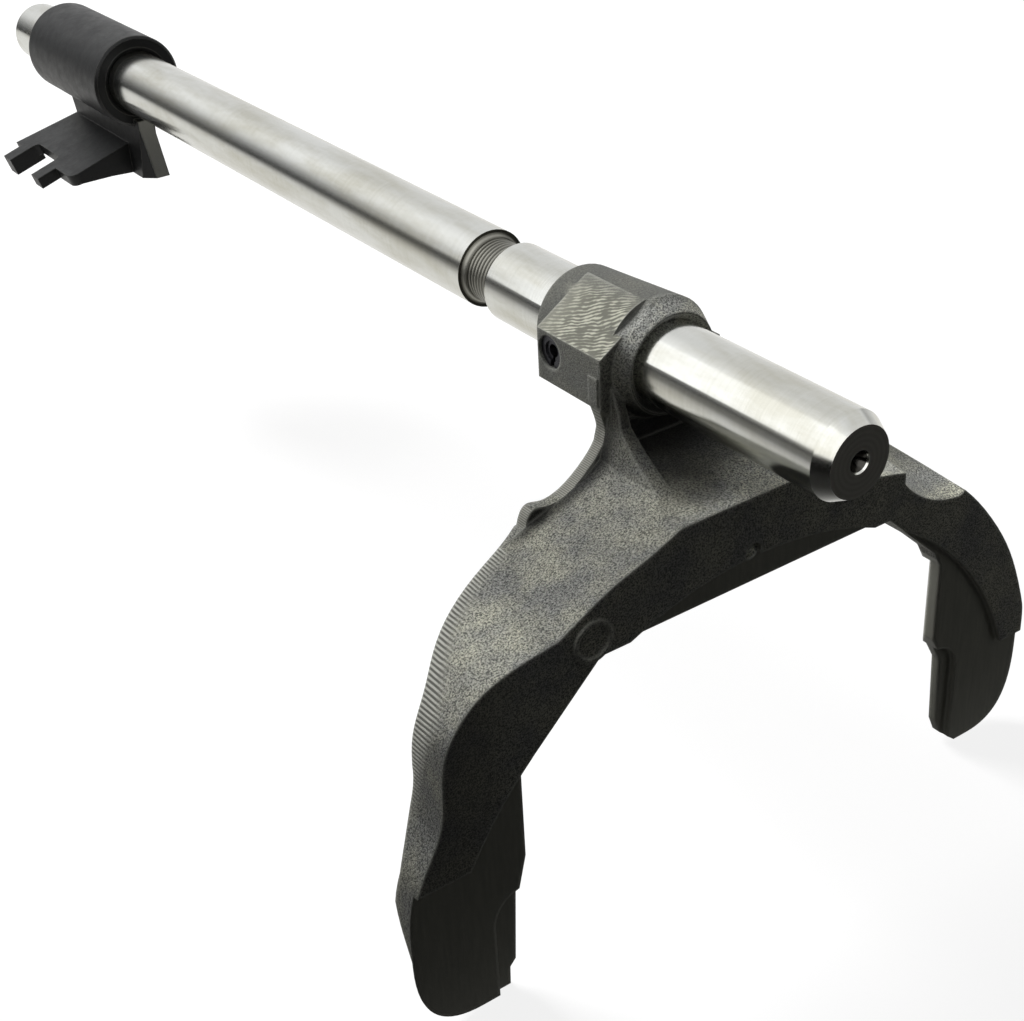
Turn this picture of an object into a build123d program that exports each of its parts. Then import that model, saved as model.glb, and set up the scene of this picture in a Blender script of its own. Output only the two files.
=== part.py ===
# Shift fork pinned on its rail, with the selector gate at the far end.
# Frame: the origin is the centre of the rail's near end, +Y runs along the rail to the gate, and +Z is up,
# so the fork's arms point down to the sliding sleeve that they would hold. All sizes are in millimetres.
import os
from math import cos, radians, sin, sqrt

from build123d import *

# Rail: a ground bar with chamfered, centre-drilled ends and one turned ring groove
RAIL_RADIUS = 10.0
RAIL_LENGTH = 420.0
END_CHAMFER_RADIAL = 1.95
END_CHAMFER_AXIAL = 3.65
CENTRE_MOUTH_RADIUS = 2.65
CENTRE_CONE_DEPTH = 2.9
CENTRE_PILOT_RADIUS = 1.0
CENTRE_PILOT_DEPTH = 5.5
GROOVE_START = 115.8
GROOVE_WIDTH = 11.4
GROOVE_DEPTH = 1.9
GROOVE_CORNER_CHAMFER = 1.1

# Fits: the clearance all round the rail in its hub and collar, and round the pins in their holes
RAIL_FIT = 0.01
PIN_FIT = 0.01

# Hub of the fork: a tapered barrel round the rail with a nose in front and a flat boss on the left
HUB_FRONT = 62.0
HUB_BACK = 92.0
HUB_FRONT_RADIUS = 14.4
HUB_BACK_RADIUS = 12.6
HUB_BACK_ROUND = 2.4
NOSE_LENGTH = 5.0
NOSE_MOUTH_RADIUS = 12.0
MOUTH_CHAMFER = 1.6
BOSS_FLAT_X = -17.2
BOSS_TOP = 4.8
BOSS_BOTTOM = -7.6
BOSS_BACK = 84.0
BOSS_ROUND = 4.0
BOSS_FACET_ANGLE = 32.0

# Cross pin of the fork: two slotted spring pins, one nested in the other
PIN_Y = 79.6
PIN_RADIUS = 4.0
PIN_WALL = 1.5
PIN_SLOT = 1.4
PIN_SINK = 0.8
CORE_WALL = 0.9
CORE_SLOT = 0.9
CORE_SINK = 0.5

# Fork, seen along the rail: the opening between the arms
SLEEVE_DROP = 127.0
GAP_TOP = -44.0
GAP_TOP_HALF = 42.5
GAP_SHOULDER_HALF = 61.0
GAP_SHOULDER_Z = -61.5
GAP_HALF = 63.3
GAP_SIDE_Z = -66.0
LAND_START_Z = -88.5
LAND_Z = -97.0
LEFT_LAND = ((-65.4, LAND_Z), (-66.6, -118.6), (-68.2, -120.4), (-68.4, -125.7))
RIGHT_LAND = ((67.8, LAND_Z), (68.8, -117.5), (70.8, -122.2), (75.0, -125.7))
TIP_Z = -125.7

# Fork, seen along the rail: the outline outside
NECK_HALF = 14.4
NECK_WAIST_Z = -11.0
NECK_BOTTOM_HALF = 17.2
NECK_BOTTOM_Z = -22.0
SHELF_X = 25.0
SHELF_Z = -27.6
SHELF_RISE = 0.07
LEFT_SHELF_END = (-54.0, -35.6)
LEFT_LIP = ((-12.0, -17.4), (-22.9, -22.2), (-30.0, -25.1), (-38.9, -28.1), (-45.8, -31.5), (-53.0, -35.4))
LIP_FALL = 0.04
LEFT_SHOULDER = (-75.0, -41.6)
LEFT_SHOULDER_SIDE = (-82.6, -52.0)
LEFT_ARM = (-84.5, -68.0)
LEFT_PAD_TOP = (-90.2, -80.0)
LEFT_PAD_SIDE = (-93.7, -98.0)
RIGHT_SHELF_END = (46.0, -32.6)
RIGHT_CROWN = (64.0, -42.0)
RIGHT_SHOULDER = (79.6, -58.6)
RIGHT_ARM = (88.8, -73.8)
RIGHT_PAD_TOP = (94.2, -88.0)
RIGHT_PAD_SIDE = (95.3, -98.0)
LEFT_TIP_ROUND = 17.0
RIGHT_TIP_ROUND = 15.5
TIP_SIDE_DROP = 5.5

# Ground facet on the right shoulder: a round cut that fades out towards the back
SCALLOP_START = (46.5, -36.0)
SCALLOP_LOW = (56.0, -43.8)
SCALLOP_END = (66.0, -46.6)
SCALLOP_SLOPE = 0.30

# Fork, seen from the side: front planes, and how deep the casting is from the neck to the pads
PAD_FRONT = 31.0
PAD_THICKNESS = 6.0
BAND_RAISE = 1.5
LIP_Z = -21.0
RIDGE_LOW = (39.8, -20.7)
RIDGE_MID = (46.5, -18.2)
NECK_TOP_Z = -11.6
WEB_FRONT = 61.8
WEB_BACK = 65.0
REAR_TOP_Z = -34.0
REAR_KNEE = (56.0, -42.0)
REAR_WAIST = (46.5, -50.0)
REAR_ARM_TOP = (40.9, -60.0)
REAR_ARM_LOW = (40.9, -68.0)
REAR_PAD_Z = -82.0

# Casting seen from above: how far back the arms reach at each distance from the rail
PLAN_WEB_HALF = 39.0
PLAN_CURVE = ((44.0, 62.6), (53.0, 59.0), (62.4, 54.2), (69.5, 49.6), (74.0, 46.0), (78.6, 42.4), (84.0, 41.0))

# Rear of the arms: machined back to the pads' thickness about the sleeve, with the inner edges bevelled
REAR_RECESS_RADIUS = 90.0
EDGE_BEVEL = 2.8
TIP_GROUND_BACK_Z = -89.0
TIP_GROUND_FRONT_Z = -103.0
TIP_GROUND_WIDTH = 4.2
TIP_GROUND_DEPTH = 5.7

# Machined clearances on the fork
RECESS_RADIUS = 90.5
RECESS_CENTRE_X = 1.5
LEFT_BAND_END = -84.0
RIGHT_BAND_END = -98.5
LAND_STEP_HALF = 72.3
LAND_STEP_DEPTH = 1.5
LAND_STEP_BACK_DEPTH = 2.0
LEFT_STEP_TOP = -97.0
RIGHT_STEP_TOP = -92.0
LAND_STEP_RADIUS = 8.0

# Web between hub and arms, pocket under the rail, gusset behind, dimple and foundry disc
WEB_TOP = (-17.6, -6.0)
WEB_WAIST = (-15.7, -14.6)
WEB_FLARE = (-20.6, -21.2)
WEB_SLOPE = (-32.5, -26.2)
WEB_END = (-38.6, -31.2)
WEB_BOTTOM = -34.0
POCKET_BACK_HALF = 11.6
POCKET_FLARE = ((13.0, 41.0), (14.4, 36.2), (17.6, 32.0), (24.0, 28.6))
POCKET_FRONT_Z = -21.3
POCKET_BACK_Z = -18.6
GUSSET_HALF = 4.5
GUSSET_LOW_Z = -31.0
DIMPLE_Z = -35.4
DIMPLE_RADIUS = 2.3
DIMPLE_DEPTH = 1.6
DISC_X = -44.5
DISC_Z = -39.2
DISC_RADIUS = 5.0
DISC_RIM = 0.9
DISC_RAISE = 0.6

# Selector gate: collar, web below it, slanted plate with two prongs, and a lug at its near end
COLLAR_RADIUS = 15.0
COLLAR_LENGTH = 58.0
BARE_END = 28.0
COLLAR_START = RAIL_LENGTH - BARE_END - COLLAR_LENGTH
COLLAR_CHAMFER = 0.8
COLLAR_MOUTH_CHAMFER = 1.4
GATE_WEB_HALF = 3.6
GATE_WEB_BACK_INSET = 1.0
GATE_WEB_BACK_SLANT = 5.0
GATE_WEB_BOTTOM = -25.5
LUG_OVERHANG = 3.5
LUG_LENGTH = 11.5
LUG_TOP_RIGHT = 1.3
LUG_RIGHT = 4.7
LUG_BOTTOM = -32.7
LUG_BEVEL_TOP = (-3.7, -13.1)
LUG_BEVEL_LOW = (0.1, -32.9)
LUG_BEVEL_DEPTH = 3.7
PLATE_TILT = 17.6
PLATE_ROOT = (-2.0, -21.6)
PLATE_THICKNESS = 4.0
PLATE_REACH = 25.2
PLATE_SHOULDER = 13.2
PLATE_CORNER_RADIUS = 3.5
PRONG_REACH = 32.4
PRONG_WIDTH = 6.0
PRONG_FAR_INSET = 4.5
FAR_PRONG_THICKNESS = 6.2
SLOT_WIDTH = 19.3
SLOT_ROOT = 20.8
SLOT_CORNER_RADIUS = 2.0
RIB_THICKNESS = 4.0

# Pin of the gate, a blind one from the right
GATE_PIN_Y = COLLAR_START + COLLAR_LENGTH / 2
GATE_PIN_RADIUS = 3.0
GATE_PIN_WALL = 1.1
GATE_PIN_SLOT = 1.1
GATE_PIN_DEPTH = 6.0


def along_rail(radius, start, end, end_radius=None):
    """A round bar or cone on the rail's axis between two stations."""
    end_radius = radius if end_radius is None else end_radius
    half = Polyline((0, start), (radius, start), (end_radius, end), (0, end), close=True)
    return revolve(make_face(half), Axis.Y)


def seen_along_rail(outline, start, end):
    """Extrudes an outline of (x, z) from one station along the rail to another."""
    face = make_face(Plane.XZ.offset(-start) * outline)
    return extrude(face, amount=end - start, dir=(0, 1, 0))


def seen_from_side(outline, half_width):
    """Extrudes an outline of (y, z) to both sides of the rail's upright plane."""
    return extrude(make_face(Plane.YZ * outline), amount=half_width, both=True)


def cross_bar(radius, y, x_low, x_high):
    """A round bar across the rail, parallel to X."""
    bar = Cylinder(radius, x_high - x_low, rotation=(0, 90, 0))
    return Pos((x_low + x_high) / 2, y, 0) * bar


def centre_drilling(end_y, inward):
    """Centre drilling in one end: a cone and a short pilot hole."""
    cone = along_rail(CENTRE_MOUTH_RADIUS, 0, CENTRE_CONE_DEPTH, CENTRE_PILOT_RADIUS)
    pilot = along_rail(CENTRE_PILOT_RADIUS, 0, CENTRE_PILOT_DEPTH)
    drilling = cone + pilot
    if inward < 0:
        drilling = mirror(drilling, about=Plane.XZ)
    return Pos(0, end_y, 0) * drilling


def ring_groove():
    """The turned groove as a ring to cut away, with bevelled floor corners."""
    floor_radius = RAIL_RADIUS - GROOVE_DEPTH
    ring = Rectangle(2 * GROOVE_DEPTH, GROOVE_WIDTH)
    floor_corners = ring.vertices().sort_by(Axis.X)[:2]
    ring = chamfer(floor_corners, GROOVE_CORNER_CHAMFER)
    ring = Pos(floor_radius + GROOVE_DEPTH, GROOVE_START + GROOVE_WIDTH / 2) * ring
    return revolve(ring, Axis.Y)


def rail():
    bar = along_rail(RAIL_RADIUS, 0, RAIL_LENGTH)
    for end_y, inward in ((0, 1), (RAIL_LENGTH, -1)):
        cone_end = end_y + inward * END_CHAMFER_AXIAL
        keep = Polyline(
            (RAIL_RADIUS - END_CHAMFER_RADIAL, end_y), (RAIL_RADIUS, cone_end),
            (RAIL_RADIUS + END_CHAMFER_RADIAL, cone_end), (RAIL_RADIUS + END_CHAMFER_RADIAL, end_y), close=True)
        bar -= revolve(make_face(keep), Axis.Y)
        bar -= centre_drilling(end_y, inward)
    bar -= ring_groove()
    bar -= cross_bar(PIN_RADIUS + PIN_FIT, PIN_Y, -2 * RAIL_RADIUS, 2 * RAIL_RADIUS)
    bar -= cross_bar(GATE_PIN_RADIUS + PIN_FIT, GATE_PIN_Y, -GATE_PIN_DEPTH, 2 * RAIL_RADIUS)
    return bar


def beyond(point, normal):
    """A large block on the far side of a plane, to cut away what lies beyond it."""
    plane = Plane(origin=point, z_dir=normal)
    return plane * Pos(0, 0, GAP_HALF) * Box(2 * GAP_HALF, 2 * GAP_HALF, 2 * GAP_HALF)


def gap_side(side, land):
    """Corner points of the opening down one arm, from the arch to the tip."""
    return [
        (side * GAP_TOP_HALF, GAP_TOP), (side * GAP_SHOULDER_HALF, GAP_SHOULDER_Z),
        (side * GAP_HALF, GAP_SIDE_Z), (side * GAP_HALF, LAND_START_Z), *land,
        (land[-1][0], 2 * TIP_Z)]


def gap():
    """The opening between the arms, right through the casting and open below."""
    outline = Polyline(*reversed(gap_side(-1, LEFT_LAND)), *gap_side(1, RIGHT_LAND), close=True)
    return seen_along_rail(outline, 0, 2 * WEB_BACK)


def tip_bottom(side, pad_side):
    """Where the round of one tip meets its flat bottom."""
    width = LEFT_TIP_ROUND if side < 0 else RIGHT_TIP_ROUND
    return (pad_side[0] - side * width, TIP_Z)


def tip_edge(side, pad_side):
    """Outside of one tip, seen along the rail: a straight side with a round down to the bottom."""
    side_end = (pad_side[0], pad_side[1] - TIP_SIDE_DROP)
    bottom = tip_bottom(side, pad_side)
    return Line(pad_side, side_end) + Spline(side_end, bottom, tangents=((0, -1), (-side, 0)))


def left_outside():
    """Outline down the left arm's outside, from the neck to the tip."""
    neck = Polyline(
        (0, 0), (-NECK_HALF, 0), (-NECK_HALF, NECK_WAIST_Z), (-NECK_BOTTOM_HALF, NECK_BOTTOM_Z),
        (-SHELF_X, SHELF_Z))
    arm = Spline(
        (-SHELF_X, SHELF_Z), LEFT_SHELF_END, LEFT_SHOULDER, LEFT_SHOULDER_SIDE, LEFT_ARM,
        LEFT_PAD_TOP, LEFT_PAD_SIDE, tangents=((-1, -0.5), (0, -1)))
    return neck + arm + tip_edge(-1, LEFT_PAD_SIDE)


def right_outside():
    """Outline down the right arm's outside, whose shoulder is lower than the left one."""
    neck = Polyline(
        (0, 0), (NECK_HALF, 0), (NECK_HALF, NECK_WAIST_Z), (NECK_BOTTOM_HALF, NECK_BOTTOM_Z),
        (SHELF_X, SHELF_Z))
    arm = Spline(
        (SHELF_X, SHELF_Z), RIGHT_SHELF_END, RIGHT_CROWN, RIGHT_SHOULDER, RIGHT_ARM, RIGHT_PAD_TOP,
        RIGHT_PAD_SIDE, tangents=((1, -0.3), (0, -1)))
    return neck + arm + tip_edge(1, RIGHT_PAD_SIDE)


def arch():
    """Arch, arms and neck before their opening is cut. They rise slightly towards the back."""
    bottom = Line(tip_bottom(-1, LEFT_PAD_SIDE), tip_bottom(1, RIGHT_PAD_SIDE))
    outline = left_outside() + right_outside() + bottom
    front = PAD_FRONT - BAND_RAISE
    face = make_face(Plane.XZ.offset(-front) * outline)
    depth = (WEB_BACK - front) * sqrt(1 + SHELF_RISE ** 2)
    return extrude(face, amount=depth, dir=(0, 1, SHELF_RISE))


def left_lip():
    """Front of the left shelf, which stands higher than the shelf behind it and falls towards the back."""
    front = PAD_FRONT - BAND_RAISE
    top = Spline(*LEFT_LIP)
    (inner, _), (outer, end_z) = LEFT_LIP[0], LEFT_LIP[-1]
    rim = Polyline(LEFT_LIP[-1], (outer, GAP_TOP), (inner, GAP_TOP), LEFT_LIP[0])
    face = make_face(Plane.XZ.offset(-front) * (top + rim))
    return extrude(face, amount=WEB_FRONT - front, dir=(0, 1, -LIP_FALL))


def rear_line():
    """Rear of the casting seen from the side: thick at the neck, thin at the pads."""
    return Spline(
        (WEB_BACK, REAR_TOP_Z), REAR_KNEE, REAR_WAIST, REAR_ARM_TOP, REAR_ARM_LOW,
        (PAD_FRONT + PAD_THICKNESS, REAR_PAD_Z), tangents=((-0.2, -1), (-0.2, -1)))


def side_outline():
    """Closed outline of the casting below the hub, seen from the side."""
    front = PAD_FRONT - BAND_RAISE
    pad_back = PAD_FRONT + PAD_THICKNESS
    mouth = HUB_FRONT - NOSE_LENGTH
    low = Polyline((pad_back, REAR_PAD_Z), (pad_back, 2 * TIP_Z), (front, 2 * TIP_Z), (front, LIP_Z))
    ridge = Spline((front, LIP_Z), RIDGE_LOW, RIDGE_MID, (mouth, NECK_TOP_Z))
    high = Polyline((mouth, NECK_TOP_Z), (HUB_FRONT, 0), (WEB_BACK, 0), (WEB_BACK, REAR_TOP_Z))
    return rear_line() + low + ridge + high


def plan_block():
    """The casting's outline seen from above, extruded through its whole height."""
    right = Spline((PLAN_WEB_HALF, WEB_BACK), *PLAN_CURVE)
    left = Spline((-PLAN_WEB_HALF, WEB_BACK), *[(-x, y) for x, y in PLAN_CURVE])
    side_x, side_y = PLAN_CURVE[-1]
    reach = 2 * GAP_HALF
    rim = Polyline(
        (side_x, side_y), (reach, side_y), (reach, 0), (-reach, 0), (-reach, side_y), (-side_x, side_y))
    back = Line((-PLAN_WEB_HALF, WEB_BACK), (PLAN_WEB_HALF, WEB_BACK))
    return extrude(make_face(right + left + rim + back), amount=2 * TIP_Z)


def web_edge(side):
    """One edge of the thin web, from the hub down to where it dies out on the arm."""
    points = [(side * -x, z) for x, z in (WEB_TOP, WEB_WAIST, WEB_FLARE, WEB_SLOPE, WEB_END)]
    return Spline(*points, tangents=((side * -0.3, -1), (side * 0.2, -1)))


def web():
    """Thin web that joins the hub to both arms and stands proud of them."""
    top_x, top_z = WEB_TOP
    end_x, end_z = WEB_END
    top = Polyline((top_x, top_z), (top_x, 0), (-top_x, 0), (-top_x, top_z))
    bottom = Polyline((end_x, end_z), (end_x, WEB_BOTTOM), (-end_x, WEB_BOTTOM), (-end_x, end_z))
    outline = web_edge(-1) + web_edge(1) + top + bottom
    return seen_along_rail(outline, WEB_FRONT, WEB_BACK)


def neck_pocket():
    """The scoop under the rail, between the two neck walls and in front of the web."""
    mouth_x, mouth_y = POCKET_FLARE[-1]
    floor = Polyline(
        (mouth_y, POCKET_FRONT_Z), (WEB_FRONT, POCKET_BACK_Z), (WEB_FRONT, 0), (mouth_y, 0), close=True)
    right = Spline(*POCKET_FLARE)
    left = Spline(*[(-x, y) for x, y in POCKET_FLARE])
    back = Polyline(
        POCKET_FLARE[0], (POCKET_BACK_HALF, WEB_FRONT), (-POCKET_BACK_HALF, WEB_FRONT),
        (-POCKET_FLARE[0][0], POCKET_FLARE[0][1]))
    plan = make_face(right + left + back + Line((-mouth_x, mouth_y), (mouth_x, mouth_y)))
    return seen_from_side(floor, mouth_x) & extrude(plan, amount=GAP_TOP)


def shoulder_scallop():
    """Ground facet on the right shoulder: a slanted round cut, deepest at the front."""
    ahead = PAD_FRONT - BAND_RAISE - 1
    arc = ThreePointArc(SCALLOP_START, SCALLOP_LOW, SCALLOP_END)
    outside = (SCALLOP_END[0], SCALLOP_START[1] + 6)
    rim = Polyline(SCALLOP_END, (SCALLOP_END[0] + 6, SCALLOP_END[1] + 3), outside,
                   (SCALLOP_START[0], SCALLOP_START[1] + 6), SCALLOP_START)
    face = make_face(Plane.XZ.offset(-ahead) * (arc + rim))
    lean = SCALLOP_SLOPE / 2
    return extrude(face, amount=WEB_BACK - ahead, dir=(lean, 1, SCALLOP_SLOPE))


def raised_band_ends():
    """Clears the raised band from the front of both pads."""
    front = PAD_FRONT - BAND_RAISE
    width = 2 * GAP_HALF
    cuts = []
    for side, end in ((-1, LEFT_BAND_END), (1, RIGHT_BAND_END)):
        block = Box(width, 2 * BAND_RAISE, width)
        cuts.append(Pos(side * width / 2, front, end - width / 2) * block)
    return cuts


def rear_recess():
    """Machined back of the arms, about the sleeve's axis."""
    depth = WEB_BACK - PAD_FRONT - PAD_THICKNESS
    disc = Cylinder(REAR_RECESS_RADIUS, depth, rotation=(90, 0, 0))
    return Pos(0, PAD_FRONT + PAD_THICKNESS + depth / 2, -SLEEVE_DROP) * disc


def edge_bevels():
    """Long bevels on the rear inner edges of both arms."""
    back = PAD_FRONT + PAD_THICKNESS
    height = GAP_SIDE_Z - LAND_Z
    cuts = []
    for side in (-1, 1):
        inner = side * GAP_HALF
        corner = Polyline(
            (inner, back - EDGE_BEVEL), (inner + side * EDGE_BEVEL, back), (inner + side * EDGE_BEVEL, back + 1),
            (inner - side, back + 1), (inner - side, back - EDGE_BEVEL), close=True)
        cuts.append(extrude(make_face(Plane.XY.offset(LAND_Z) * corner), amount=height, dir=(0, 0, 1)))
    return cuts


def ground_tip_corner(side, pad_side):
    """What is ground off one tip's rear corner, following its round and fading out upwards."""
    back = PAD_FRONT + PAD_THICKNESS
    top = pad_side[1] + 2 * PAD_THICKNESS
    bottom = tip_bottom(side, pad_side)
    rim = Polyline(bottom, (0, TIP_Z), (0, top), (pad_side[0], top), pad_side)
    kept = seen_along_rail(tip_edge(side, pad_side) + rim, PAD_FRONT, back)
    rear_face = kept.faces().sort_by(Axis.Y)[-1]
    rear_edges = [e for e in rear_face.edges() if abs(e.center().X) > abs(bottom[0])]
    kept = chamfer(rear_edges, TIP_GROUND_WIDTH, TIP_GROUND_DEPTH, reference=rear_face)
    rise = TIP_GROUND_BACK_Z - TIP_GROUND_FRONT_Z
    below = beyond((side * LAND_STEP_HALF, back, TIP_GROUND_BACK_Z), (0, rise, -PAD_THICKNESS))
    outer = side * (LAND_STEP_HALF + GAP_HALF / 2)
    zone = Pos(outer, PAD_FRONT + PAD_THICKNESS / 2, TIP_Z) * Box(GAP_HALF, PAD_THICKNESS, 2 * GAP_HALF)
    return (zone & below) - kept


def sleeve_recess():
    """Round clearance on the front face, about the sleeve's axis."""
    disc = Cylinder(RECESS_RADIUS, 2 * BAND_RAISE, rotation=(90, 0, 0))
    return Pos(RECESS_CENTRE_X, PAD_FRONT - BAND_RAISE, -SLEEVE_DROP) * disc


def land_step(side, top_z, face_y, depth):
    """Milled step along one pad's inner edge, on its front or its back. The cutter starts in the gap."""
    width = LAND_STEP_HALF
    height = top_z - 2 * TIP_Z
    block = Box(width, 2 * depth, height)
    block = fillet(block.edges().filter_by(Axis.Y), LAND_STEP_RADIUS)
    return Pos(side * (LAND_STEP_HALF - width / 2), face_y, top_z - height / 2) * block


def hub_boss():
    """Boss on the left of the hub, with an upright flat and the ground facet above it."""
    slope = radians(BOSS_FACET_ANGLE)
    reach = -BOSS_FLAT_X
    section = Polyline(
        (BOSS_FLAT_X, BOSS_BOTTOM), (BOSS_FLAT_X, BOSS_TOP),
        (BOSS_FLAT_X + reach * cos(slope), BOSS_TOP + reach * sin(slope)),
        (0, 0), (0, BOSS_BOTTOM - 4), (BOSS_FLAT_X + 5, BOSS_BOTTOM - 4), close=True)
    boss = seen_along_rail(section, HUB_FRONT - 1, BOSS_BACK)
    back_corner = boss.edges().filter_by(Axis.Z).sort_by(Axis.Y)[-1]
    return fillet(back_corner, BOSS_ROUND)


def hub():
    barrel = along_rail(HUB_FRONT_RADIUS, HUB_FRONT, HUB_BACK, HUB_BACK_RADIUS)
    back_rim = barrel.edges().filter_by(GeomType.CIRCLE).sort_by(Axis.Y)[-1]
    barrel = fillet(back_rim, HUB_BACK_ROUND)
    nose = along_rail(NOSE_MOUTH_RADIUS, HUB_FRONT - NOSE_LENGTH, HUB_FRONT, HUB_FRONT_RADIUS)
    slope = radians(BOSS_FACET_ANGLE)
    above_facet = beyond((BOSS_FLAT_X, 0, BOSS_TOP), (-sin(slope), 0, cos(slope)))
    return (barrel + nose + hub_boss()) - above_facet


def gusset():
    """Upright rib behind the web, under the hub."""
    side = Polyline(
        (WEB_FRONT, 0), (HUB_BACK - 6, 0), (HUB_BACK - 6, -HUB_BACK_RADIUS), (WEB_FRONT + 1, GUSSET_LOW_Z), close=True)
    return seen_from_side(side, GUSSET_HALF)


def foundry_disc():
    """Plain round disc with a raised rim on the arch's front."""
    front = PAD_FRONT - BAND_RAISE
    disc = Cylinder(DISC_RADIUS, 2 * DISC_RAISE, rotation=(90, 0, 0))
    floor = Cylinder(DISC_RADIUS - DISC_RIM, 2 * DISC_RAISE, rotation=(90, 0, 0))
    return Pos(DISC_X, front, DISC_Z) * (disc - Pos(0, -0.8 * DISC_RAISE, 0) * floor)


def fork():
    body = (arch() + left_lip()) & seen_from_side(side_outline(), 2 * GAP_HALF) & plan_block()
    body -= gap()
    body += web()
    body -= neck_pocket()
    body -= rear_recess()
    body += hub() + gusset()
    body -= sleeve_recess()
    body -= shoulder_scallop()
    for cut in raised_band_ends() + edge_bevels():
        body -= cut
    body -= ground_tip_corner(-1, LEFT_PAD_SIDE)
    body -= ground_tip_corner(1, RIGHT_PAD_SIDE)
    for side, top_z in ((-1, LEFT_STEP_TOP), (1, RIGHT_STEP_TOP)):
        body -= land_step(side, top_z, PAD_FRONT, LAND_STEP_DEPTH)
        body -= land_step(side, top_z, PAD_FRONT + PAD_THICKNESS, LAND_STEP_BACK_DEPTH)
    body += foundry_disc()
    body -= Pos(0, PAD_FRONT, DIMPLE_Z) * Cylinder(DIMPLE_RADIUS, 2 * DIMPLE_DEPTH, rotation=(90, 0, 0))
    bore = RAIL_RADIUS + RAIL_FIT
    mouth = HUB_FRONT - NOSE_LENGTH
    body -= along_rail(bore, 0, RAIL_LENGTH)
    body -= along_rail(bore + MOUTH_CHAMFER, mouth, mouth + MOUTH_CHAMFER, bore)
    body -= cross_bar(PIN_RADIUS + PIN_FIT, PIN_Y, 2 * BOSS_FLAT_X, -2 * BOSS_FLAT_X)
    return body


def spring_pin(radius, wall, slot, y, x_low, x_high):
    """Rolled pin with a slot along it, across the rail."""
    pin = cross_bar(radius, y, x_low, x_high) - cross_bar(radius - wall, y, x_low, x_high)
    gap = Pos((x_low + x_high) / 2, y, -radius) * Box(x_high - x_low, slot, 2 * radius)
    return pin - gap


def fork_pin():
    return spring_pin(PIN_RADIUS, PIN_WALL, PIN_SLOT, PIN_Y, BOSS_FLAT_X + PIN_SINK, HUB_BACK_RADIUS - PIN_SINK)


def fork_pin_core():
    core_radius = PIN_RADIUS - PIN_WALL - PIN_FIT
    sink = PIN_SINK + CORE_SINK
    return spring_pin(core_radius, CORE_WALL, CORE_SLOT, PIN_Y, BOSS_FLAT_X + sink, HUB_BACK_RADIUS - sink)


def collar():
    end = COLLAR_START + COLLAR_LENGTH
    body = along_rail(COLLAR_RADIUS, COLLAR_START, end)
    return chamfer(body.edges().filter_by(GeomType.CIRCLE), COLLAR_CHAMFER)


def plate_near():
    """Near edge of the gate's plate, a shoulder's width before the near prong."""
    far_prong = COLLAR_START + COLLAR_LENGTH - GATE_WEB_BACK_INSET - PRONG_FAR_INSET
    return far_prong - 2 * PRONG_WIDTH - SLOT_WIDTH - PLATE_SHOULDER


def gate_plate():
    """Slanted plate with two prongs and the slot between them for the selector finger."""
    far = COLLAR_START + COLLAR_LENGTH - GATE_WEB_BACK_INSET
    far_root = far - GATE_WEB_BACK_SLANT
    near = plate_near()
    far_prong = far - PRONG_FAR_INSET
    slot_far = far_prong - PRONG_WIDTH
    slot_near = slot_far - SLOT_WIDTH
    near_prong = slot_near - PRONG_WIDTH
    outline = Polyline(
        (0, near), (PLATE_REACH, near), (PLATE_REACH, near_prong), (PRONG_REACH, near_prong),
        (PRONG_REACH, slot_near), (SLOT_ROOT, slot_near), (SLOT_ROOT, slot_far), (PRONG_REACH, slot_far),
        (PRONG_REACH, far_prong), (PLATE_REACH, far_prong), (PLATE_REACH, far), (0, far_root), close=True)
    plate = extrude(make_face(outline), amount=-PLATE_THICKNESS)
    slot_corners = [e for e in plate.edges().filter_by(Axis.Z) if abs(e.center().X - SLOT_ROOT) < 0.1]
    plate = fillet(slot_corners, SLOT_CORNER_RADIUS)
    near_corner = [e for e in plate.edges().filter_by(Axis.Z)
                   if abs(e.center().X - PLATE_REACH) < 0.1 and abs(e.center().Y - near) < 0.1]
    plate = fillet(near_corner, PLATE_CORNER_RADIUS)
    prong = Pos((SLOT_ROOT + PRONG_REACH) / 2, (slot_far + far_prong) / 2, -FAR_PRONG_THICKNESS / 2) * Box(
        PRONG_REACH - SLOT_ROOT, PRONG_WIDTH, FAR_PRONG_THICKNESS)
    plate = mirror(plate + prong, about=Plane.YZ)
    return Pos(PLATE_ROOT[0], 0, PLATE_ROOT[1]) * Rot(0, -PLATE_TILT, 0) * plate


def gate_web():
    """Upright web under the collar."""
    far = COLLAR_START + COLLAR_LENGTH - GATE_WEB_BACK_INSET
    far_low = far - GATE_WEB_BACK_SLANT
    side = Polyline(
        (COLLAR_START, 0), (COLLAR_START, GATE_WEB_BOTTOM), (far_low, GATE_WEB_BOTTOM), (far_low, PLATE_ROOT[1]),
        (far, -RAIL_RADIUS), (far, 0), close=True)
    return seen_from_side(side, GATE_WEB_HALF)


def gate_lug():
    """Lug that hangs down at the gate's near end, leaning to the right, with one bevelled edge."""
    near = COLLAR_START - LUG_OVERHANG
    top = LUG_BEVEL_TOP[1] + 1
    outline = Polyline(
        (-GATE_WEB_HALF, top), (LUG_TOP_RIGHT, top), (LUG_RIGHT, LUG_BOTTOM), (-GATE_WEB_HALF, LUG_BOTTOM),
        close=True)
    lug = seen_along_rail(outline, near, near + LUG_LENGTH)
    high = Vector(LUG_BEVEL_TOP[0], near, LUG_BEVEL_TOP[1])
    low = Vector(LUG_BEVEL_LOW[0], near, LUG_BEVEL_LOW[1])
    behind = Vector(-GATE_WEB_HALF, near + LUG_BEVEL_DEPTH, LUG_BOTTOM)
    normal = (low - high).cross(behind - high)
    normal = normal if normal.X < 0 else normal * -1
    return lug - beyond(high, normal)


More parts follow.
